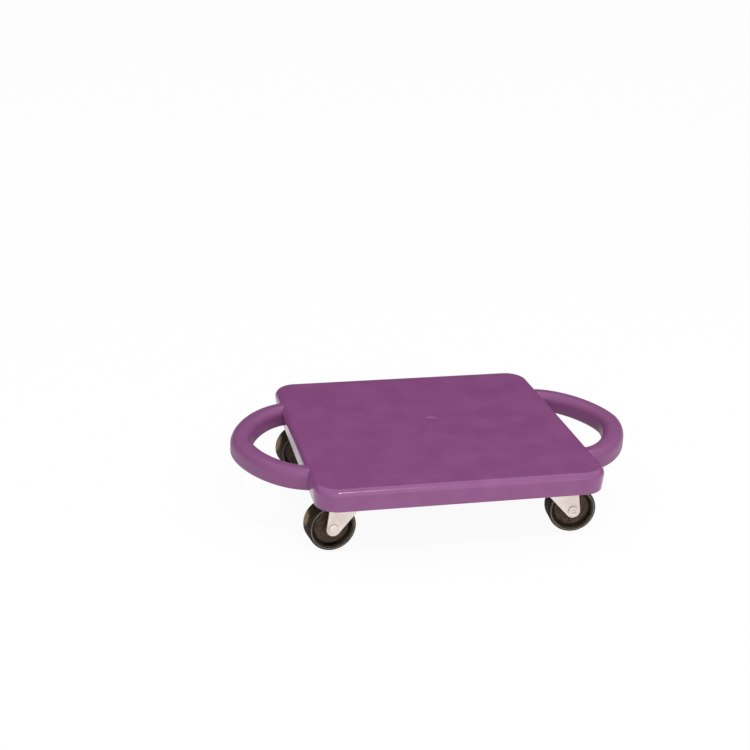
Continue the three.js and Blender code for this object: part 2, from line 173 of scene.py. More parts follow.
world = bpy.data.worlds.new("studio_room")
scene.world = world
world.use_nodes = True
tree = world.node_tree
tree.nodes.clear()
direction = add(tree, "ShaderNodeTexCoord").outputs["Generated"]
brightest = (0, -math.sin(ceiling_lean), math.cos(ceiling_lean))
room = add(tree, "ShaderNodeValToRGB", {0: vector_node(tree, "DOT_PRODUCT", direction, brightest)})
room.color_ramp.interpolation = "LINEAR"
for stop, position, light in ((0, dim_until, wall_light), (1, bright_from, ceiling_light)):
    room.color_ramp.elements[stop].position = position
    room.color_ramp.elements[stop].color = (light, light, light, 1)
sky = add(tree, "ShaderNodeBackground", {"Color": room.outputs[0], "Strength": 1.0})
backdrop = add(tree, "ShaderNodeBackground", {"Color": (1, 1, 1, 1), "Strength": 1.0})
watched = add(tree, "ShaderNodeLightPath").outputs["Is Camera Ray"]
shown = mixed(tree, watched, sky, backdrop)
add(tree, "ShaderNodeOutputWorld", {"Surface": shown.outputs[0]})


def lamp(name, azimuth, elevation, distance, width, height, level):
    """An area lamp aimed at the board. level is how much of a plain white light it gives there."""
    light = bpy.data.lights.new(name, "AREA")
    light.shape = "ELLIPSE"
    light.size = width
    light.size_y = height
    light.energy = level * math.pi ** 2 * distance ** 2
    towards = way_to(azimuth, elevation)
    made = link_object(name, light)
    made.location = lamp_target + towards * distance
    made.rotation_euler = towards.to_track_quat("Z", "Y").to_euler()


lamp("flash_head", azimuth=4, elevation=58, distance=2.6, width=0.07, height=0.07, level=0.3)
lamp("softbox", azimuth=16, elevation=59, distance=2.6, width=0.2, height=0.2, level=0.03)
lamp("front_fill", azimuth=-5, elevation=20, distance=3.0, width=4.4, height=1.6, level=0.16)
lamp("back_fill", azimuth=150, elevation=60, distance=3.0, width=3.0, height=3.0, level=0.04)


# Deck. One moulding in purple polyolefin: a square tray with a rounded edge, open below, with a
# channel shaped grip loop on each side, ribs, and four framed pads with screw bosses under it.
deck_low, deck_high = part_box("deck")
deck_half = deck_high.y
deck_top = deck_high.z
rim_height = deck_low.z
corner_radius = 25 * mm
edge_radius = 7 * mm
rim_radius = 0.8 * mm
deck_wall = 4.5 * mm
deck_skin = 4.5 * mm
wall_draft = 0.5 * mm
outer_draft = 1.6 * mm
tray_edge_radius = 2.5 * mm
corner_steps = 24
edge_steps = 12
overrun = 2 * mm
merge_distance = 0.003 * mm
flat_angle = math.radians(0.3)

grip_width = 23.2 * mm
grip_step = 0.8 * mm
grip_spread = 86.9 * mm
grip_power = 1.68
grip_top_radius = 9.4 * mm
grip_low_radius = 5 * mm
grip_wall = 4 * mm
grip_skin = 4.5 * mm
grip_cavity_radius = 3 * mm
grip_root_fillet = 0.5 * mm
grip_root_sink = 1 * mm
grip_hollow_gap = 0.5 * mm
grip_rib_recess = 4 * mm
grip_rib_count = 7
rib_end_cover = 0.65
rib_top_cover = 0.85
grip_steps = 216

rib_thickness = 2.8 * mm
rib_draft = 0.3 * mm
rib_recess = 5 * mm
pad_wall = 3 * mm
pad_margin = 3 * mm
pad_recess = 3.6 * mm
pad_seat_gap = 0.3 * mm
pad_corner_radius = 4 * mm
boss_radius = 5.2 * mm
boss_draft = 0.25 * mm
screw_hole_radius = 2.6 * mm
screw_hole_depth = 16.6 * mm
hole_chamfer = 0.8 * mm
hole_lip = 0.1 * mm
hole_point = 1 * mm
slot_inset_x = 6.5 * mm
slot_inset_y = 7 * mm
gate_place = (6 * mm, 17 * mm, 0)
gate_radius = 8.2 * mm
gate_floor_radius = 5.2 * mm
gate_depth = 0.6 * mm
gate_slope = 0.7 * mm
gate_floor_round = 0.5 * mm
gate_nub_radius = 1.1 * mm


def arc(x, y, radius, start, end, steps):
    """Points along an arc, from one angle to the other in degrees."""
    angles = [math.radians(start + (end - start) * step / steps) for step in range(steps + 1)]
    return [(x + radius * math.cos(angle), y + radius * math.sin(angle)) for angle in angles]


def rounded_outline(half_x, half_y, radius, steps):
    x, y = half_x - radius, half_y - radius
    return (
        arc(x, y, radius, 0, 90, steps)
        + arc(-x, y, radius, 90, 180, steps)
        + arc(-x, -y, radius, 180, 270, steps)
        + arc(x, -y, radius, 270, 360, steps)
    )


def lofted(rings, closed=False):
    """A solid through rings of points, with capped ends unless the last ring meets the first."""
    solid = bmesh.new()
    rows = [[solid.verts.new(point) for point in ring] for ring in rings]
    pairs = list(zip(rows, rows[1:]))
    if closed:
        pairs.append((rows[-1], rows[0]))
    for low, high in pairs:
        for side in range(len(low)):
            after = (side + 1) % len(low)
            solid.faces.new((low[side], low[after], high[after], high[side]))
    if not closed:
        solid.faces.new(rows[0])
        solid.faces.new(rows[-1])
    bmesh.ops.recalc_face_normals(solid, faces=solid.faces)
    return solid


def upright(profile, half_x, half_y, radius, steps, x=0, y=0, closed=False):
    """A solid with a rounded rectangle plan. profile is a list of (inset, height)."""
    rings = []
    for inset, z in profile:
        plan = rounded_outline(half_x - inset, half_y - inset, radius - inset, steps)
        rings.append([Vector((x + px, y + py, z)) for px, py in plan])
    return lofted(rings, closed)


def turned(profile, sides):
    """A solid turned round the upright axis. profile is a list of (radius, height)."""
    angles = [2 * math.pi * side / sides for side in range(sides)]
    rings = [
        [Vector((radius * math.cos(angle), radius * math.sin(angle), z)) for angle in angles]
        for radius, z in profile
    ]
    solid = lofted(rings, closed=profile[0][0] > 0)
    bmesh.ops.remove_doubles(solid, verts=solid.verts, dist=merge_distance)
    return solid


def moved(solid, place):
    bmesh.ops.translate(solid, verts=solid.verts, vec=place)
    return solid


def gathered(solids):
    """Several solids that don't touch, as one."""
    whole = bmesh.new()
    for solid in solids:
        part = bpy.data.meshes.new("part")
        solid.to_mesh(part)
        solid.free()
        whole.from_mesh(part)
        bpy.data.meshes.remove(part)
    return whole


def combined(base, solid, operation):
    """Joins a solid to the object, or cuts it away, and keeps the result as the object's mesh."""
    tool = as_object("tool", solid)
    step = base.modifiers.new("step", "BOOLEAN")
    step.operation = operation
    step.solver = "MANIFOLD"
    step.object = tool
    result = base.evaluated_get(bpy.context.evaluated_depsgraph_get())
    mesh = bpy.data.meshes.new_from_object(result)
    base.modifiers.clear()
    old = base.data
    base.data = mesh
    bpy.data.meshes.remove(old)
    bpy.data.meshes.remove(tool.data)
    return base


def cleaned(piece):
    """Merges the triangles that a cut leaves in flat faces."""
    solid = bmesh.new()
    solid.from_mesh(piece.data)
    bmesh.ops.remove_doubles(solid, verts=solid.verts, dist=merge_distance)
    bmesh.ops.dissolve_limit(solid, angle_limit=flat_angle, verts=solid.verts, edges=solid.edges)
    solid.to_mesh(piece.data)
    solid.free()
    return piece


def smoothed(piece, sharp_angle=32):
    piece.data.shade_smooth()
    piece.data.set_sharp_from_angle(angle=math.radians(sharp_angle))
    return piece


def flat_faces_lead(piece):
    weighting = piece.modifiers.new("flat_faces_lead", "WEIGHTED_NORMAL")
    weighting.keep_sharp = True
    return piece


def coat(piece, finish):
    piece.data.materials.clear()
    piece.data.materials.append(finish)


def rotated(solid, angle, axis):
    turn = Matrix.Rotation(angle, 3, axis)
    bmesh.ops.rotate(solid, verts=solid.verts, cent=(0, 0, 0), matrix=turn)
    return solid


def rib(length, low, high, x, y, turn):
    """A rib that hangs from the skin and thins towards its rounded lower edge."""
    half = rib_thickness / 2
    tip = half - rib_draft
    section = [(half, high), (-half, high)]
    section += [(-px, pz) for px, pz in arc(tip - rib_draft, low + rib_draft, rib_draft, 0, -90, 3)]
    section += arc(tip - rib_draft, low + rib_draft, rib_draft, -90, 0, 3)
    made = lofted([[Vector((end * length / 2, px, pz)) for px, pz in section] for end in (-1, 1)])
    return moved(rotated(made, turn, "Z"), (x, y, 0))


grip_root = deck_half - deck_wall
grip_reach = deck_high.x - grip_width / 2 - grip_root
grip_high = deck_top - grip_step


def grip_line(angle):
    """The middle line of the right grip, a superellipse, from one root to the other."""
    across = abs(math.cos(angle)) ** (2 / grip_power)
    along = math.copysign(abs(math.sin(angle)) ** (2 / grip_power), math.sin(angle))
    return Vector((grip_root + grip_reach * across, grip_spread * along, 0))


grip_angles = [(step / grip_steps - 0.5) * math.pi for step in range(grip_steps + 1)]
grip_places = [grip_line(angle) for angle in grip_angles]
grip_places[0].x -= grip_root_sink
grip_places[-1].x -= grip_root_sink


def grip_heading(step):
    if step in (0, grip_steps):
        return Vector((1 if step == 0 else -1, 0, 0))
    return (grip_places[step + 1] - grip_places[step - 1]).normalized()


def swept(section_at, first, last):
    """A solid that carries a section of (out, height) points along the right grip."""
    rings = []
    for step in range(first, last + 1):
        place, heading = grip_places[step], grip_heading(step)
        out = heading.cross(Vector((0, 0, 1)))
        rings.append([place + out * px + Vector((0, 0, pz)) for px, pz in section_at(place)])
    return lofted(rings)


def grip_section(place):
    """Outside of the grip, wider where it runs into the deck wall."""
    gap = max(0.0, min(grip_root_fillet, place.x - deck_half))
    spare = grip_root_fillet - gap
    flare = grip_root_fillet - math.sqrt(grip_root_fillet ** 2 - spare ** 2)
    half = grip_width / 2 + flare
    top, low = grip_high - grip_top_radius, rim_height + grip_low_radius
    return (
        arc(half - grip_top_radius, top, grip_top_radius, 0, 90, 10)
        + arc(grip_top_radius - half, top, grip_top_radius, 90, 180, 10)
        + arc(grip_low_radius - half, low, grip_low_radius, 180, 270, 7)
        + arc(half - grip_low_radius, low, grip_low_radius, 270, 360, 7)
    )


def grip_hollow_section(place):
    half = grip_width / 2 - grip_wall
    high = grip_high - grip_skin - grip_cavity_radius
    side = half - grip_cavity_radius
    return (
        [(half + wall_draft, rim_height - overrun)]
        + arc(side, high, grip_cavity_radius, 0, 90, 5)
        + arc(-side, high, grip_cavity_radius, 90, 180, 5)
        + [(-half - wall_draft, rim_height - overrun)]
    )


def mirrored(solid):
    """The same solid on the other side of the deck."""
    bmesh.ops.scale(solid, verts=solid.verts, vec=(-1, 1, 1))
    bmesh.ops.reverse_faces(solid, faces=solid.faces)
    return solid


deck_profile = [
    (outer_draft + rim_radius - px, rim_height + rim_radius - pz)
    for pz, px in arc(0, 0, rim_radius, 0, 90, 3)
]
deck_profile += [
    (edge_radius - px, deck_top - edge_radius + pz)
    for px, pz in arc(0, 0, edge_radius, 0, 90, edge_steps)
]
tray = upright(deck_profile, deck_half, deck_half, corner_radius, corner_steps)
deck = as_object("moulded_deck", tray)
hollow_start = deck_half + grip_hollow_gap
outside_steps = [step for step, place in enumerate(grip_places) if place.x > hollow_start]
for section_at, first, last, operation in (
    (grip_section, 0, grip_steps, "UNION"),
    (grip_hollow_section, outside_steps[0], outside_steps[-1], "DIFFERENCE"),
):
    deck = combined(deck, swept(section_at, first, last), operation)
    deck = combined(deck, mirrored(swept(section_at, first, last)), operation)

skin_underside = deck_top - deck_skin
tray_half = deck_half - deck_wall
tray_profile = [(-wall_draft, rim_height - overrun)]
tray_profile += [
    (tray_edge_radius - px, skin_underside - tray_edge_radius + pz)
    for px, pz in arc(0, 0, tray_edge_radius, 0, 90, 5)
]
inside = upright(tray_profile, tray_half, tray_half, corner_radius - deck_wall, corner_steps)
deck = combined(deck, inside, "DIFFERENCE")

plate_low, plate_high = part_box("front_left_plate")
plate_half_x = (plate_high.x - plate_low.x) / 2
plate_half_y = (plate_high.y - plate_low.y) / 2
swivel_x = -(plate_high.x + plate_low.x) / 2
swivel_y = -(plate_high.y + plate_low.y) / 2
pad_height = rim_height + pad_recess + pad_seat_gap
rib_low = rim_height + rib_recess
rib_high = skin_underside + deck_skin / 2
pad_line_x = plate_half_x + pad_margin - pad_wall / 2
pad_line_y = plate_half_y + pad_margin - pad_wall / 2
corners = {
    "front_left": (-1, -1),
    "front_right": (1, -1),
    "back_left": (-1, 1),
    "back_right": (1, 1),
}
pad_places = [(side * swivel_x, end * swivel_y) for side, end in corners.values()]

quarter = math.pi / 2
inside_length = deck_half * 2 - deck_wall
for line, swivel, span, turn in (
    (pad_line_x, swivel_x, swivel_y * 2, quarter),
    (pad_line_y, swivel_y, swivel_x * 2, 0),
):
    rows = [(inside_length, off) for off in (line - swivel, 0, swivel - line)]
    rows += [(span, off) for off in (-swivel - line, swivel + line)]
    deck = combined(deck, gathered([
        rib(length, rib_low, rib_high, off if turn else 0, 0 if turn else off, turn)
        for length, off in rows
    ]), "UNION")

screw_places = [
    (side * (plate_half_x - slot_inset_x), end * (plate_half_y - slot_inset_y))
    for side, end in ((-1, -1), (1, -1), (1, 1), (-1, 1))
]
boss_profile = [(0, pad_height), (boss_radius - boss_draft, pad_height)]
boss_profile += [(boss_radius, rib_high), (0, rib_high)]
hole_top = pad_height + screw_hole_depth
hole_mouth = screw_hole_radius + hole_chamfer
hole_profile = [
    (0, pad_height - overrun),
    (hole_mouth, pad_height - overrun),
    (hole_mouth, pad_height - hole_lip),
    (screw_hole_radius, pad_height - hole_lip + hole_chamfer),
    (screw_hole_radius, hole_top - hole_point),
    (0, hole_top),
]
frame_profile = [(rib_draft, pad_height), (0, rib_high)]
frame_profile += [(pad_wall, rib_high), (pad_wall - rib_draft, pad_height)]
frame_x, frame_y = plate_half_x + pad_margin, plate_half_y + pad_margin
frames = [
    upright(frame_profile, frame_x, frame_y, pad_corner_radius, 4, x, y, closed=True)
    for x, y in pad_places
]
deck = combined(deck, gathered(frames), "UNION")
pad_rib_low = pad_height + rib_recess - pad_recess
for half_length, turn in ((plate_half_x, 0), (plate_half_y, quarter)):
    pad_ribs = [
        rib(half_length * 2 + pad_wall, pad_rib_low, rib_high, x, y, turn) for x, y in pad_places
    ]
    deck = combined(deck, gathered(pad_ribs), "UNION")
boss_places = [(x + sx, y + sy, 0) for x, y in pad_places for sx, sy in screw_places]
bosses = [moved(turned(boss_profile, 32), place) for place in boss_places]
deck = combined(deck, gathered(bosses), "UNION")

lengths = [0.0]
for before, after in zip(grip_places, grip_places[1:]):
    lengths.append(lengths[-1] + (after - before).length)
grip_rib_length = grip_width - grip_wall * rib_end_cover * 2
grip_rib_low = rim_height + grip_rib_recess
grip_rib_high = grip_high - grip_skin * rib_top_cover
grip_ribs = []
for count in range(1, grip_rib_count + 1):
    wanted = lengths[-1] * count / (grip_rib_count + 1)
    step = min(range(grip_steps + 1), key=lambda index: abs(lengths[index] - wanted))
    place, heading = grip_places[step], grip_heading(step)
    across = math.atan2(heading.y, heading.x) + quarter
    grip_ribs += [
        rib(grip_rib_length, grip_rib_low, grip_rib_high, side * place.x, place.y, side * across)
        for side in (1, -1)
    ]
deck = combined(deck, gathered(grip_ribs), "UNION")
screw_holes = [moved(turned(hole_profile, 32), place) for place in boss_places]
deck = combined(deck, gathered(screw_holes), "DIFFERENCE")

gate_profile = [
    (0, deck_top - gate_depth / 2),
    (gate_nub_radius * 0.7, deck_top - gate_depth / 2),
    (gate_nub_radius, deck_top - gate_depth),
    (gate_floor_radius - gate_floor_round, deck_top - gate_depth),
    (gate_floor_radius, deck_top - gate_depth * 0.94),
    (gate_radius - gate_slope, deck_top - gate_depth * 0.15),
    (gate_radius, deck_top),
    (gate_radius, deck_top + overrun),
    (0, deck_top + overrun),
]
deck = combined(deck, moved(turned(gate_profile, 64), gate_place), "DIFFERENCE")
deck = flat_faces_lead(smoothed(cleaned(deck)))


def new_group(name, inputs, outputs):
    """A node group with named inputs, given with their first values, and named outputs."""
    group = bpy.data.node_groups.new(name, "ShaderNodeTree")
    for label, value in inputs.items():
        kind = "NodeSocketVector" if isinstance(value, tuple) else "NodeSocketFloat"
        socket = group.interface.new_socket(label, in_out="INPUT", socket_type=kind)
        socket.default_value = value
    for label in outputs:
        group.interface.new_socket(label, in_out="OUTPUT", socket_type="NodeSocketFloat")
    return group, add(group, "NodeGroupInput").outputs


def use_group(tree, group, **inputs):
    return add(tree, "ShaderNodeGroup", inputs, node_tree=group).outputs


def minus(tree, first, second):
    return math_node(tree, "SUBTRACT", first, second)


def noise(tree, place, scale, detail=3.0, roughness=0.5, seed=0.0):
    return add(
        tree,
        "ShaderNodeTexNoise",
        {"Vector": place, "W": seed, "Scale": scale, "Detail": detail, "Roughness": roughness},
        noise_dimensions="4D",
    ).outputs["Fac"]


def ramp(tree, value, low, high, to_low=0.0, to_high=1.0):
    """Maps low..high to to_low..to_high smoothly, and holds the ends."""
    return add(
        tree,
        "ShaderNodeMapRange",
        {"Value": value, "From Min": low, "From Max": high, "To Min": to_low, "To Max": to_high},
        interpolation_type="SMOOTHSTEP",
    ).outputs[0]


def scaled(tree, place, factor):
    return vector_node(tree, "MULTIPLY", place, (factor, factor, factor))


# Moulded skin: the soft unevenness that a mould leaves, as a height, and a broad mottle.
moulded_skin, given = new_group(
    "moulded_skin", {"Place": (0.0, 0.0, 0.0), "Seed": 0.0, "Grain": 900.0}, ["Height", "Mottle"]
)
tree = moulded_skin
peel = noise(tree, given["Place"], scale=260.0, detail=2.0, seed=given["Seed"])
grain = noise(tree, given["Place"], scale=given["Grain"], detail=2.0, seed=given["Seed"])
height = plus(tree, times(tree, peel, 0.7), times(tree, grain, 0.3))
mottle = noise(tree, given["Place"], scale=26.0, detail=4.0, roughness=0.55, seed=given["Seed"])
add(tree, "NodeGroupOutput", {"Height": height, "Mottle": mottle})

# Handling marks: fine scratches that run in a few directions, gathered in worn patches.
handling_marks, given = new_group(
    "handling_marks",
    {"Place": (0.0, 0.0, 0.0), "Seed": 0.0, "Scale": 1.0, "Worn": 0.5},
    ["Scratches", "Rubbed"],
)
tree = handling_marks
stretch = (1.0, 26.0, 26.0)
line_width = 0.014
sizing = {0: given["Place"], 3: given["Scale"]}
base = add(tree, "ShaderNodeVectorMath", sizing, operation="SCALE").outputs[0]
lines = None
for turn, lean in ((0.3, 0.2), (1.4, -0.5), (2.5, 0.9)):
    drawn = {"Vector": base, "Rotation": (lean, lean / 2, turn), "Scale": stretch}
    turned_place = add(tree, "ShaderNodeMapping", drawn).outputs[0]
    streak = noise(tree, turned_place, scale=34.0, detail=2.0, roughness=0.6, seed=given["Seed"])
    line = ramp(tree, math_node(tree, "ABSOLUTE", minus(tree, streak, 0.5)), line_width, 0.0)
    lines = line if lines is None else math_node(tree, "MAXIMUM", lines, line)
patches = noise(tree, base, scale=22.0, roughness=0.6, seed=given["Seed"])
edge = minus(tree, 0.78, times(tree, given["Worn"], 0.4))
rubbed = ramp(tree, minus(tree, patches, edge), -0.06, 0.12)
scratches = times(tree, lines, rubbed)
add(tree, "NodeGroupOutput", {"Scratches": scratches, "Rubbed": rubbed})


def new_material(name, **settings):
    """A material with one Principled shader. Settings that stay the same all over are set on it."""
    material = bpy.data.materials.new(name)
    material.use_nodes = True
    shader = material.node_tree.nodes["Principled BSDF"]
    for label, value in settings.items():
        shader.inputs[label.replace("_", " ")].default_value = value
    return material, material.node_tree, shader


def own_place(tree):
    """Coordinates fixed to the piece, and a number that differs from piece to piece."""
    place = add(tree, "ShaderNodeTexCoord").outputs["Object"]
    seed = times(tree, add(tree, "ShaderNodeObjectInfo").outputs["Random"], 40.0)
    return place, seed


def blended(tree, share, first, second):
    return add(tree, "ShaderNodeMix", {0: share, 6: first, 7: second}, data_type="RGBA").outputs[2]


def surfaced(tree, shader, colour, dull, relief, depth):
    """Gives the shader its colour and dullness, and a relief of that depth."""
    bump = add(tree, "ShaderNodeBump", {"Height": relief, "Distance": depth, "Strength": 1.0})
    for label, value in (("Base Color", colour), ("Roughness", dull), ("Normal", bump.outputs[0])):
        tree.links.new(value, shader.inputs[label])


deck_purple = linear(129, 72, 120)
deck_light = linear(136, 80, 128)
deck_dark = linear(121, 65, 113)
scuff_pale = linear(165, 122, 158)
top_from, top_whole = deck_top - 1.5 * mm, deck_top - 0.2 * mm
grip_from, grip_whole = deck_half + 0.5 * mm, deck_half + 2.5 * mm
fans_from, fans_whole, fans_fade, fans_end = 12 * mm, 35 * mm, 60 * mm, 150 * mm

deck_finish, tree, shader = new_material("deck_polyolefin", Specular_IOR_Level=0.45)
place = add(tree, "ShaderNodeTexCoord").outputs["Object"]
skin_marks = use_group(tree, moulded_skin, Place=place, Seed=1.0, Grain=900.0)
marks = use_group(tree, handling_marks, Place=place, Seed=2.0, Scale=1.0, Worn=0.2)
split = add(tree, "ShaderNodeSeparateXYZ", {0: place}).outputs
on_top = ramp(tree, split["Z"], top_from, top_whole)
on_grip = ramp(tree, math_node(tree, "ABSOLUTE", split["X"]), grip_from, grip_whole)
flat_place = add(tree, "ShaderNodeCombineXYZ", {"X": split["X"], "Y": split["Y"]}).outputs[0]
flat_place = vector_node(tree, "SUBTRACT", flat_place, gate_place)
radius = vector_node(tree, "LENGTH", flat_place)
ray = vector_node(tree, "NORMALIZE", flat_place)
ray_place = vector_node(tree, "ADD", ray, scaled(tree, flat_place, 1.6))
fans = noise(tree, ray_place, scale=5.0, roughness=0.6, seed=3.0)
fan_reach = times(
    tree, ramp(tree, radius, fans_from, fans_whole), ramp(tree, radius, fans_end, fans_fade)
)
fan_share = times(tree, times(tree, fan_reach, on_top), 0.16)
colour = blended(tree, ramp(tree, skin_marks["Mottle"], 0.3, 0.7), deck_dark, deck_light)
colour = blended(tree, 0.55, colour, deck_purple)
fan_colour = blended(tree, ramp(tree, fans, 0.36, 0.64), deck_dark, deck_light)
colour = blended(tree, fan_share, colour, fan_colour)
colour = blended(tree, times(tree, on_grip, 0.5), colour, deck_dark)
colour = blended(tree, times(tree, marks["Scratches"], 0.35), colour, scuff_pale)
dull = ramp(tree, skin_marks["Mottle"], 0.3, 0.7, 0.16, 0.22)
dull = plus(tree, dull, times(tree, marks["Rubbed"], 0.08))
dull = plus(tree, dull, times(tree, on_grip, 0.26))
relief = minus(tree, skin_marks["Height"], times(tree, marks["Scratches"], 0.5))
surfaced(tree, shader, colour, dull, relief, 0.05 * mm)
coat(deck, deck_finish)
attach(deck, "board")
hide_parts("deck")


# Caster frames. Each caster swivels on an upright axis and trails its wheel to one side, and its
# pieces are made round that axis with the wheel towards +X, then set in place four times.
joints = {joint["name"]: joint for joint in frame["joints"]}


def caster_place(corner):
    """Where the swivel axis stands, and the way the wheel trails."""
    swivel = Vector(joints[f"{corner}_turn"]["pos_m"])
    axle = Vector(joints[f"{corner}_roll"]["pos_m"])
    heading = math.atan2(axle.y - swivel.y, axle.x - swivel.x)
    return Vector((swivel.x, swivel.y, 0)), heading


def put(pattern, name, place, body, node):
    """One copy of the pattern in its place, riding on its body and standing for its node."""
    made = flat_faces_lead(link_object(name, pattern.data))
    made.matrix_world = place
    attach(made, body)
    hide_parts(node)


def place_copies(pattern, name, node, body, finish, trailing=True):
    """A copy of the pattern on every caster, turned to where the wheel trails if it goes along."""
    coat(pattern, finish)
    for corner in corners:
        swivel, heading = caster_place(corner)
        place = Matrix.Translation(swivel) @ Matrix.Rotation(heading if trailing else 0, 4, "Z")
        put(pattern, f"{corner}_{name}", place, body.format(corner), f"{corner}_{node}")
    bpy.data.objects.remove(pattern)


# Mounting plates. Pressed steel sheet, 2 mm, zinc plated: four slots for the screws, and a dish in
# the middle whose groove is the upper ball race.
sheet = 2 * mm
plate_corner_radius = 6 * mm
edge_break = 0.25 * mm
slot_radius = 2.9 * mm
slot_travel = 3 * mm
slot_end_flat = 0.001 * mm
race_radius = 14 * mm
ball_radius = 2.4 * mm
groove_radius = 2.8 * mm
race_lip = 1.2 * mm
race_drop = 5.4 * mm
pin_radius = 4 * mm
pin_gap = 0.3 * mm
dish_slope = 2.2 * mm
dish_step = 1 * mm
bulge_reach = 3.6 * mm
race_sides = 96

plate_top = plate_high.z
plate_under = plate_top - sheet
ball_height = plate_under - race_drop
dish_under = ball_height + race_lip
dish_top = dish_under + sheet
dish_outer = race_radius + groove_radius + sheet
groove_angle = math.degrees(math.asin(race_lip / groove_radius))
bulge_angle = math.degrees(math.asin((race_lip + sheet) / (groove_radius + sheet)))


def drill(radius, low, high):
    """Profile of a plain round cutter, a little longer than its hole at both ends."""
    bottom, top = low - overrun, high + overrun
    return [(0, bottom), (radius, bottom), (radius, top), (0, top)]


def bevelled(piece, width, angle):
    """Breaks the sharp edges of a pressed piece."""
    solid = bmesh.new()
    solid.from_mesh(piece.data)
    limit = math.radians(angle)
    sharp = [edge for edge in solid.edges if edge.is_manifold and edge.calc_face_angle() > limit]
    bmesh.ops.bevel(
        solid, geom=sharp, offset=width, segments=2, profile=0.5, affect="EDGES", clamp_overlap=True
    )
    bmesh.ops.remove_doubles(solid, verts=solid.verts, dist=merge_distance)
    solid.to_mesh(piece.data)
    solid.free()
    return piece


sheet_profile = [(edge_break, plate_under), (0, plate_under + edge_break)]
sheet_profile += [(0, plate_top - edge_break), (edge_break, plate_top)]
plate = as_object(
    "plate_pattern", upright(sheet_profile, plate_half_x, plate_half_y, plate_corner_radius, 8)
)
slot_profile = [(0, plate_under - overrun), (0, plate_top + overrun)]
slot_half = slot_radius + slot_travel / 2
slots = [
    upright(slot_profile, slot_half, slot_radius, slot_radius - slot_end_flat, 8, x, y)
    for x, y in screw_places
]
plate = combined(plate, gathered(slots), "DIFFERENCE")
dish_hole = turned(drill(dish_outer, plate_under, plate_top), race_sides)
plate = combined(plate, dish_hole, "DIFFERENCE")
slope_end = dish_outer + dish_slope
dish_profile = (
    [(pin_radius + pin_gap, dish_under)]
    + arc(race_radius, ball_height, groove_radius, 180 - groove_angle, groove_angle, 12)
    + [(dish_outer, dish_under), (slope_end, plate_under), (slope_end, plate_top)]
    + [(dish_outer + dish_step, plate_top), (race_radius + bulge_reach, dish_top)]
    + arc(race_radius, ball_height, groove_radius + sheet, bulge_angle, 180 - bulge_angle, 12)
    + [(pin_radius + pin_gap, dish_top)]
)
plate = combined(plate, turned(dish_profile, race_sides), "UNION")
plate = smoothed(bevelled(cleaned(plate), edge_break, 60))

# Bright zinc: pale, a little warm, with faint rolling lines, cloudy patches and fine scratches.
zinc_pale = linear(233, 223, 218)
zinc_warm = linear(222, 208, 201)
zinc_dull = linear(172, 162, 156)

zinc_finish, tree, shader = new_material("zinc_plate", Metallic=1.0)
place, seed = own_place(tree)
marks = use_group(tree, handling_marks, Place=place, Seed=seed, Scale=4.0, Worn=0.6)
along_rolls = {"Vector": place, "Scale": (1.0, 1.0, 9.0)}
rolled = add(tree, "ShaderNodeMapping", along_rolls).outputs[0]
lines = noise(tree, rolled, scale=420.0, detail=2.0, roughness=0.6, seed=seed)
clouds = noise(tree, place, scale=70.0, detail=4.0, roughness=0.6, seed=seed)
colour = blended(tree, ramp(tree, clouds, 0.35, 0.68), zinc_pale, zinc_warm)
colour = blended(tree, times(tree, marks["Scratches"], 0.5), colour, zinc_dull)
dull = plus(tree, ramp(tree, clouds, 0.3, 0.7, 0.26, 0.42), times(tree, lines, 0.08))
relief = minus(tree, times(tree, lines, 0.4), marks["Scratches"])
surfaced(tree, shader, colour, dull, relief, 0.01 * mm)
place_copies(plate, "mounting_plate", "plate", "board", zinc_finish, trailing=False)


# Bearing balls. Eighteen ground steel balls, greased, that fill the race between plate and fork.
ball_count = math.floor(math.pi / math.asin(ball_radius / race_radius))
ball_rows = 16

ball_profile = [(0, -ball_radius)]
ball_profile += arc(0, 0, ball_radius, -90, 90, ball_rows)[1:-1]
ball_profile.append((0, ball_radius))
balls = []
for count in range(ball_count):
    angle = 2 * math.pi * count / ball_count
    spot = Vector((race_radius * math.cos(angle), race_radius * math.sin(angle), ball_height))
    balls.append(moved(turned(ball_profile, ball_rows * 2), spot))
ring = smoothed(as_object("ball_pattern", gathered(balls)), 60)

steel_bright = linear(186, 188, 190)
steel_dark = linear(128, 126, 122)

ball_finish, tree, shader = new_material("ground_steel", Metallic=1.0)
place, seed = own_place(tree)
marks = use_group(tree, handling_marks, Place=place, Seed=seed, Scale=6.0, Worn=0.5)
film = noise(tree, place, scale=190.0, seed=seed)
colour = blended(tree, ramp(tree, film, 0.4, 0.7), steel_bright, steel_dark)
dull = plus(tree, ramp(tree, film, 0.3, 0.7, 0.12, 0.3), times(tree, marks["Scratches"], 0.1))
relief = minus(tree, film, marks["Scratches"])
surfaced(tree, shader, colour, dull, relief, 0.006 * mm)
place_copies(ring, "bearing_balls", "balls", "{}_race", ball_finish)


# Thrust washers. A plain zinc plated ring on the king pin, which keeps the fork up on the balls.
washer_low, washer_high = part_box("front_left_washer")
washer_radius = (washer_high.x - washer_low.x) / 2
washer_bore = pin_radius + pin_gap
washer_round = 0.3 * mm


def tube_profile(bore, radius, low, high, edge):
    """Profile of a tube or a ring with rounded edges."""
    middle, centre = (bore + radius) / 2, (low + high) / 2
    outline = rounded_outline((radius - bore) / 2, (high - low) / 2, edge, 3)
    return [(middle + px, centre + pz) for px, pz in outline]


washer_profile = tube_profile(washer_bore, washer_radius, washer_low.z, washer_high.z, washer_round)
washer = smoothed(as_object("washer_pattern", turned(washer_profile, race_sides)), 50)
place_copies(washer, "thrust_washer", "washer", "board", zinc_finish, trailing=False)


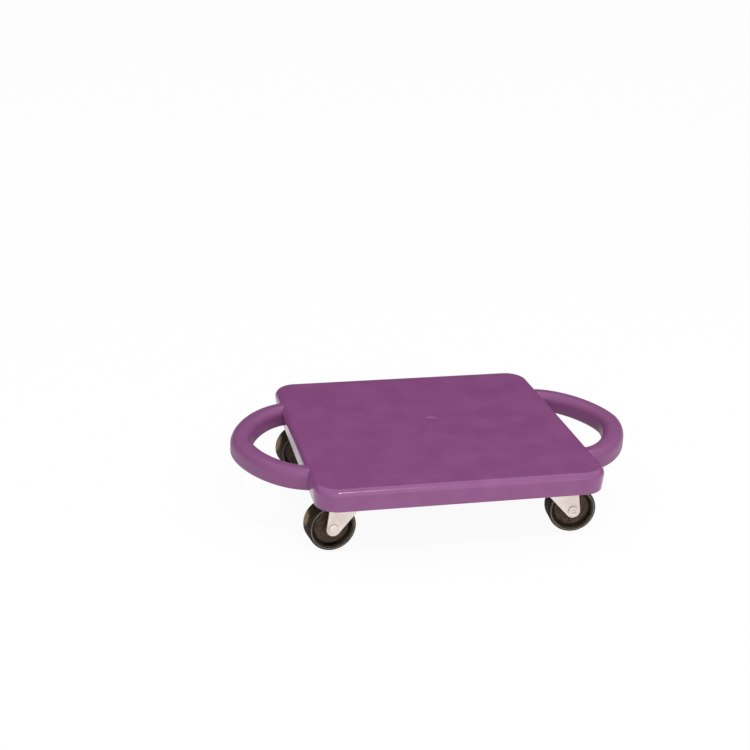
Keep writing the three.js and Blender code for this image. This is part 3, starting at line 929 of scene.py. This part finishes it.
# King pins. A steel rivet with a domed head under the washer, peened over above the dish.
pin_low, pin_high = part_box("front_left_king_pin")
pin_head_radius = 7 * mm
pin_head_height = 2.2 * mm
pin_head_dome = 0.9 * mm
pin_edge = 0.5 * mm
edge_turn = 60
dome_steps = 6


def domed_head(radius, seat, height, dome, edge, up):
    """Profile of a rivet head from its seat to its middle, going up or down."""
    side = height - dome - edge
    points = [(radius, seat), (radius, seat + up * side)]
    points += [
        (radius - edge + px, seat + up * (side + pz))
        for px, pz in arc(0, 0, edge, 0, edge_turn, 4)[1:]
    ]
    start = radius - edge / 2
    rise = height - side - edge * math.sin(math.radians(edge_turn))
    for step in range(1, dome_steps + 1):
        share = 1 - step / dome_steps
        points.append((start * share, seat + up * (height - rise * share ** 2)))
    return points


low_seat, high_seat = pin_low.z + pin_head_height, pin_high.z - pin_head_height
low_head, high_head = (
    domed_head(pin_head_radius, seat, pin_head_height, pin_head_dome, pin_edge, up)
    for seat, up in ((low_seat, -1), (high_seat, 1))
)
pin_profile = low_head[::-1] + [(pin_radius, low_seat), (pin_radius, high_seat)] + high_head
pin = smoothed(as_object("pin_pattern", turned(pin_profile, 48)))
place_copies(pin, "centre_rivet", "king_pin", "board", zinc_finish, trailing=False)


# Forks. Pressed from 2 mm sheet and zinc plated: a crown with the lower ball race, and two legs
# that are bent down past the wheel and taper to a round end at the axle.
fork_bend_radius = 3.4 * mm
fork_rear_reach = 23.5 * mm
leg_end_radius = 7.6 * mm
leg_outside = 13.8 * mm
leg_inside = leg_outside - sheet
pin_bore = 5.6 * mm
axle_hole_radius = 3.4 * mm
seat_overlap = 0.6 * mm

axle_place = Vector(joints["front_left_roll"]["pos_m"])
trail = (Vector((axle_place.x, axle_place.y, 0)) - caster_place("front_left")[0]).length
wheel_radius = axle_place.z
crown_top = ball_height - race_lip
crown_under = crown_top - sheet


def spun(profile, sides):
    """A solid turned round the wheel's axle, Y, from a list of (radius, place along it)."""
    return rotated(turned(profile, sides), -quarter, "X")


def touch_angle(x, y, radius, turn):
    """Where a straight line from a point meets the round end of a leg, in degrees."""
    return math.degrees(math.atan2(y, x) - turn * math.acos(radius / math.hypot(x, y)))


rear_x = fork_rear_reach - trail
front_x = -dish_outer - trail
crown_rise = crown_top - wheel_radius
rear_touch = touch_angle(rear_x, crown_rise, leg_end_radius, 1)
front_touch = touch_angle(front_x, crown_rise, leg_end_radius, -1)
side_outline = [(x, crown_rise + overrun) for x in (rear_x, front_x)] + [(front_x, crown_rise)]
side_outline += arc(0, 0, leg_end_radius, front_touch, rear_touch + 360, 28)
side_outline.append((rear_x, crown_rise))
side_cut = lofted([
    [Vector((x + trail, y, z + wheel_radius)) for x, z in side_outline]
    for y in (-leg_outside - overrun, leg_outside + overrun)
])
bend_inner = fork_bend_radius - sheet
bend_x, bend_z = leg_outside - fork_bend_radius, crown_top - fork_bend_radius
bend_outline = (
    [(leg_outside, 0)]
    + arc(bend_x, bend_z, fork_bend_radius, 0, 90, 8)
    + arc(-bend_x, bend_z, fork_bend_radius, 90, 180, 8)
    + [(-leg_outside, 0), (-leg_inside, 0)]
    + arc(-bend_x, bend_z, bend_inner, 180, 90, 8)
    + arc(bend_x, bend_z, bend_inner, 90, 0, 8)
    + [(leg_inside, 0)]
)
bend_reach = fork_rear_reach + dish_outer
fork = as_object("fork_pattern", lofted([
    [Vector((x, y, z)) for y, z in bend_outline] for x in (-bend_reach, bend_reach)
]))
fork = combined(fork, side_cut, "INTERSECT")
seat_hole = drill(dish_outer - seat_overlap, crown_under, crown_top)
fork = combined(fork, turned(seat_hole, race_sides), "DIFFERENCE")
race_profile = (
    [(pin_bore, crown_under)]
    + arc(race_radius, ball_height, groove_radius + sheet, 180 + bulge_angle, 360 - bulge_angle, 12)
    + [(dish_outer, crown_under), (dish_outer, crown_top)]
    + arc(race_radius, ball_height, groove_radius, -groove_angle, groove_angle - 180, 12)
    + [(pin_bore, crown_top)]
)
fork = combined(fork, turned(race_profile, race_sides), "UNION")
axle_hole = spun(drill(axle_hole_radius, -leg_outside, leg_outside), 48)
fork = combined(fork, moved(axle_hole, (trail, 0, wheel_radius)), "DIFFERENCE")
fork = smoothed(bevelled(cleaned(fork), edge_break, 50))
place_copies(fork, "pressed_fork", "fork", "{}_swivel", zinc_finish)


# Wheels. Hard near-black plastic, moulded in one: a tread with round shoulders, a web dished in
# from both sides and a hub. They pick up dust and scratches. Their colour also carries painted
# light:
# a highlight patch on the tread, a light ring of painted highlight and wear on the rim, and painted
# shade at the root of the web.
wheel_half_width = 11 * mm
shoulder = 2.6 * mm
rim_depth = 3 * mm
rim_slope = 3.6 * mm
web_half = 5.5 * mm
web_fillet = 1.6 * mm
hub_radius = 9 * mm
hub_end = 11.3 * mm
hub_bore = 4.8 * mm
small_round = 0.4 * mm
foot_in, foot_out, foot_rise = 0.8 * mm, 0.2 * mm, 0.3 * mm
lip_in, lip_out, lip_fall = 0.3 * mm, 0.2 * mm, 0.4 * mm
parting_step = 0.12 * mm
wheel_sides = 120

rim_inner = wheel_radius - rim_depth
slope_foot = rim_inner - rim_slope
shoulder_top = wheel_radius - shoulder / 2
half_profile = (
    [(hub_bore, hub_end - small_round), (hub_bore + small_round, hub_end)]
    + arc(hub_radius - small_round, hub_end - small_round, small_round, 90, 0, 3)
    + arc(hub_radius + web_fillet, web_half + web_fillet, web_fillet, 180, 270, 5)
    + [(slope_foot - foot_in, web_half), (slope_foot + foot_out, web_half + foot_rise)]
    + [(rim_inner - lip_in, wheel_half_width - lip_fall), (rim_inner + lip_out, wheel_half_width)]
    + [(shoulder_top - small_round, wheel_half_width)]
)
half_profile += [
    (shoulder_top + shoulder / 2 * math.sin(math.radians(angle)),
     wheel_half_width - shoulder + shoulder * math.cos(math.radians(angle)))
    for angle in range(10, 91, 10)
]
half_profile += [(wheel_radius, parting_step), (wheel_radius - parting_step, 0)]
wheel_profile = half_profile + [(radius, -along) for radius, along in half_profile[-2::-1]]
wheel = smoothed(as_object("wheel_pattern", spun(wheel_profile, wheel_sides)), 40)

wheel_black = linear(38, 28, 22)
wheel_brown = linear(90, 71, 58)
# Near-black: grime on the tread, and painted shade in a ragged band at the root of the web.
wheel_grime_and_shade = linear(12, 8, 5)
# Light grey of the rim ring: partly rim wear, partly a painted highlight.
rim_wear_and_highlight = linear(120, 115, 108)
floor_dust = linear(138, 118, 88)
# Painted highlight: a ragged tan patch round one fixed spot on the tread.
painted_glint_tan = linear(168, 142, 110)
painted_glint_place = (24.2 * mm, -6 * mm, 7.9 * mm)
painted_glint_reach = 8 * mm
painted_glint_soft = 3 * mm
painted_glint_ragged = 16 * mm
tread_from, tread_whole = wheel_radius - 1.2 * mm, wheel_radius - 0.2 * mm
web_from, web_whole = slope_foot + 0.4 * mm, slope_foot - 1.2 * mm
outer_ring = (rim_inner + 0.1 * mm, rim_inner + 1.2 * mm)
inner_ring = (rim_inner - 1.1 * mm, rim_inner - 0.6 * mm)
ring_soft = 0.2 * mm
# Painted shade band where the web meets the rim slope.
painted_shade_band = (slope_foot - 0.6 * mm, rim_inner - 1.4 * mm)
painted_shade_soft = 0.7 * mm
painted_shade_ragged = 3 * mm


def band(tree, value, low, high, soft):
    """One between low and high, and nothing beyond, with soft edges."""
    rising = ramp(tree, value, low - soft, low + soft)
    falling = ramp(tree, value, high + soft, high - soft)
    return times(tree, rising, falling)


wheel_finish, tree, shader = new_material("wheel_plastic_black", Specular_IOR_Level=0.14)
place, seed = own_place(tree)
skin_marks = use_group(tree, moulded_skin, Place=place, Seed=seed, Grain=1400.0)
marks = use_group(tree, handling_marks, Place=place, Seed=seed, Scale=3.0, Worn=0.8)
split = add(tree, "ShaderNodeSeparateXYZ", {0: place}).outputs
round_place = add(tree, "ShaderNodeCombineXYZ", {"X": split["X"], "Y": split["Z"]}).outputs[0]
radius = vector_node(tree, "LENGTH", round_place)
ring_place = add(tree, "ShaderNodeCombineXYZ", {"X": radius, "Y": split["Y"]}).outputs[0]
turning = noise(tree, ring_place, scale=900.0, detail=2.0, roughness=0.6, seed=seed)
on_tread = ramp(tree, radius, tread_from, tread_whole)
dusty = noise(tree, place, scale=120.0, detail=4.0, roughness=0.65, seed=seed)
dust_share = times(tree, ramp(tree, dusty, 0.45, 0.8), ramp(tree, on_tread, 0.0, 1.0, 0.10, 0.12))
# Painted highlight: a ragged tan patch on the tread round one fixed spot.
ragged = times(tree, minus(tree, dusty, 0.5), painted_glint_ragged)
from_painted_glint = plus(tree, vector_node(tree, "DISTANCE", place, painted_glint_place), ragged)
painted_glint = ramp(tree, from_painted_glint, painted_glint_reach + painted_glint_soft, painted_glint_reach - painted_glint_soft)
painted_glint = times(tree, painted_glint, on_tread)
spoke = vector_node(tree, "NORMALIZE", round_place)
spoke_place = vector_node(tree, "ADD", spoke, scaled(tree, ring_place, 260.0))
flow = noise(tree, spoke_place, scale=2.4, detail=4.0, roughness=0.65, seed=seed)
on_web = ramp(tree, radius, web_from, web_whole)
# Painted highlight and wear: a patchy light ring on the flat rim face, and a fainter one inside it.
ring_wear_and_highlight = band(tree, radius, *outer_ring, ring_soft)
inner_share = times(tree, band(tree, radius, *inner_ring, ring_soft), 0.5)
ring_wear_and_highlight = plus(tree, ring_wear_and_highlight, inner_share)
ring_wear_and_highlight = times(tree, ring_wear_and_highlight, ramp(tree, flow, 0.3, 0.62, 0.45, 1.0))
# Painted shade: a dark ragged band where the web meets the rim slope.
painted_shade_edge = plus(tree, radius, times(tree, minus(tree, flow, 0.5), painted_shade_ragged))
painted_shade_in_corner = band(tree, painted_shade_edge, *painted_shade_band, painted_shade_soft)
brown_share = times(tree, ramp(tree, flow, 0.38, 0.62), ramp(tree, on_web, 0.0, 1.0, 0.2, 1.0))
colour = blended(tree, brown_share, wheel_black, wheel_brown)
# Painted highlight and wear on the rim ring.
colour = blended(tree, ring_wear_and_highlight, colour, rim_wear_and_highlight)
# Painted shade at the root of the web.
colour = blended(tree, times(tree, painted_shade_in_corner, 0.9), colour, wheel_grime_and_shade)
colour = blended(tree, times(tree, on_tread, 0.7), colour, wheel_grime_and_shade)
colour = blended(tree, dust_share, colour, floor_dust)
# Painted highlight patch on the tread.
colour = blended(tree, times(tree, painted_glint, 0.7), colour, painted_glint_tan)
colour = blended(tree, times(tree, marks["Scratches"], 0.3), colour, floor_dust)
dull = plus(tree, ramp(tree, turning, 0.3, 0.7, 0.24, 0.34), times(tree, dust_share, 0.4))
dull = plus(tree, dull, times(tree, on_tread, 0.45))
relief = plus(tree, times(tree, turning, 0.5), skin_marks["Height"])
relief = minus(tree, relief, marks["Scratches"])
surfaced(tree, shader, colour, dull, relief, 0.03 * mm)

wheel_turns = {"front_left": 0, "front_right": 90, "back_left": 0, "back_right": 180}
coat(wheel, wheel_finish)
for corner in corners:
    swivel, heading = caster_place(corner)
    standing = Matrix.Translation(swivel) @ Matrix.Rotation(heading, 4, "Z")
    rolled_to = Matrix.Rotation(math.radians(wheel_turns[corner]), 4, "Y")
    place = standing @ Matrix.Translation((trail, 0, wheel_radius)) @ rolled_to
    name, body, node = (f"{corner}_{end}" for end in ("moulded_wheel", "roller", "wheel"))
    put(wheel, name, place, body, node)
bpy.data.objects.remove(wheel)


# Spacer sleeves. A steel tube between the legs, on which the hub of the wheel turns.
sleeve_bore = 3.4 * mm
sleeve_radius = 4.5 * mm
sleeve_end = 11.5 * mm
sleeve_round = 0.2 * mm

sleeve_profile = tube_profile(sleeve_bore, sleeve_radius, -sleeve_end, sleeve_end, sleeve_round)
sleeve = moved(spun(sleeve_profile, 48), (trail, 0, wheel_radius))
sleeve = smoothed(as_object("sleeve_pattern", sleeve), 50)
place_copies(sleeve, "spacer_sleeve", "sleeve", "{}_swivel", ball_finish)


# Axle rivets. Zinc plated steel: a domed head on one leg, and on the other the end is rolled over
# into a ring round a dimple.
axle_radius = 3.1 * mm
axle_head_radius = 5.2 * mm
axle_head_height = 1.7 * mm
axle_head_dome = 0.7 * mm
axle_head_edge = 0.4 * mm
head_gap = 0.3 * mm
axle_seat = leg_outside + head_gap
axle_end = axle_seat + axle_head_height
dimple_radius = 2.6 * mm
dimple_flat = 1.43 * mm
dimple_depth = 1 * mm
dimple_round = 0.45 * mm
roll_height = 0.935 * mm
roll_side = 1.02 * mm

dimple_bottom = dimple_depth - axle_end
rolled_head = [(0, dimple_bottom), (dimple_flat, dimple_bottom)]
rolled_head += arc(dimple_flat, dimple_bottom + dimple_round, dimple_round, -90, -20, 4)[1:]
roll_middle = (dimple_radius + axle_head_radius) / 2
roll_half = (axle_head_radius - dimple_radius) / 2
rolled_head += [
    (roll_middle + roll_half * 1.1 * math.cos(math.radians(angle)),
     roll_height - axle_end - roll_height * math.sin(math.radians(angle)))
    for angle in range(165, 20, -12)
]
rolled_head += [(axle_head_radius, roll_side - axle_end), (axle_head_radius, -axle_seat)]
axle_profile = rolled_head + [(axle_radius, -axle_seat), (axle_radius, axle_seat)]
axle_profile += domed_head(
    axle_head_radius, axle_seat, axle_head_height, axle_head_dome, axle_head_edge, 1
)
axle = moved(spun(axle_profile, 64), (trail, 0, wheel_radius))
axle = smoothed(as_object("axle_pattern", axle))
place_copies(axle, "axle_rivet", "axle", "{}_swivel", zinc_finish)


# Plate screws. Zinc plated pan heads with a cross recess, sixteen in all, driven up through the
# slots of the plates into the bosses of the deck.
screw_radius = 2.3 * mm
screw_root_radius = 1.75 * mm
screw_length = 14 * mm
screw_head_radius = 4.5 * mm
screw_head_height = 2.6 * mm
screw_head_dome = 0.9 * mm
screw_head_edge = 0.7 * mm
screw_seat = plate_under - head_gap
screw_pitch = 1.5 * mm
screw_point = 2.4 * mm
point_share = 0.12
shank_root = 0.6 * mm
recess_reach = 2.5 * mm
recess_half = 0.42 * mm
recess_foot = 1.375 * mm
recess_depth = 1.5 * mm
thread_sides = 24
thread_rows_per_turn = 6


def threaded_shank(root, crest, seat, tip, point):
    """A closed shank whose radius rises and falls along a helix, and that narrows to its point."""
    rings = []
    rows = round((tip - seat) / screw_pitch * thread_rows_per_turn)
    for row in range(rows + 1):
        z = seat + (tip - seat) * row / rows
        narrowed = min(1.0, (tip - z) / point + point_share)
        ring = []
        for side in range(thread_sides):
            angle = 2 * math.pi * side / thread_sides
            turn = (z / screw_pitch - side / thread_sides) % 1
            rise = max(0.0, 1 - abs(turn - 0.5) * 4)
            radius = (root + (crest - root) * rise) * narrowed
            ring.append(Vector((radius * math.cos(angle), radius * math.sin(angle), z)))
        rings.append(ring)
    return lofted(rings)


head_profile = [(0, screw_seat)] + domed_head(
    screw_head_radius, screw_seat, screw_head_height, screw_head_dome, screw_head_edge, -1
)
screw = as_object("screw_pattern", turned(head_profile, 48))
screw_tip = plate_under + screw_length
shank = threaded_shank(
    screw_root_radius, screw_radius, screw_seat - shank_root, screw_tip, screw_point
)
screw = combined(screw, shank, "UNION")
recess_end = screw_seat - screw_head_height
cross_corners = ((1, 1), (-1, 1), (-1, -1), (1, -1))
recess_rows = [
    (recess_reach, recess_end - overrun),
    (recess_reach, recess_end),
    (recess_foot, recess_end + recess_depth),
]
for turn in (0, quarter):
    blade = lofted([
        [Vector((reach * end, recess_half * side, z)) for end, side in cross_corners]
        for reach, z in recess_rows
    ])
    screw = combined(screw, rotated(blade, turn, "Z"), "DIFFERENCE")
screw = smoothed(cleaned(screw), 35)

screw_turns = (12, 67, 31, 80)
turn_per_corner = 23
coat(screw, zinc_finish)
for corner_number, corner in enumerate(corners):
    swivel = caster_place(corner)[0]
    for number, (x, y) in enumerate(screw_places):
        driven = math.radians(screw_turns[number] + corner_number * turn_per_corner)
        place = Matrix.Translation(swivel + Vector((x, y, 0))) @ Matrix.Rotation(driven, 4, "Z")
        name, node = (f"{corner}_{kind}_{number + 1}" for kind in ("pan_screw", "screw"))
        put(screw, name, place, "board", node)
bpy.data.objects.remove(screw)
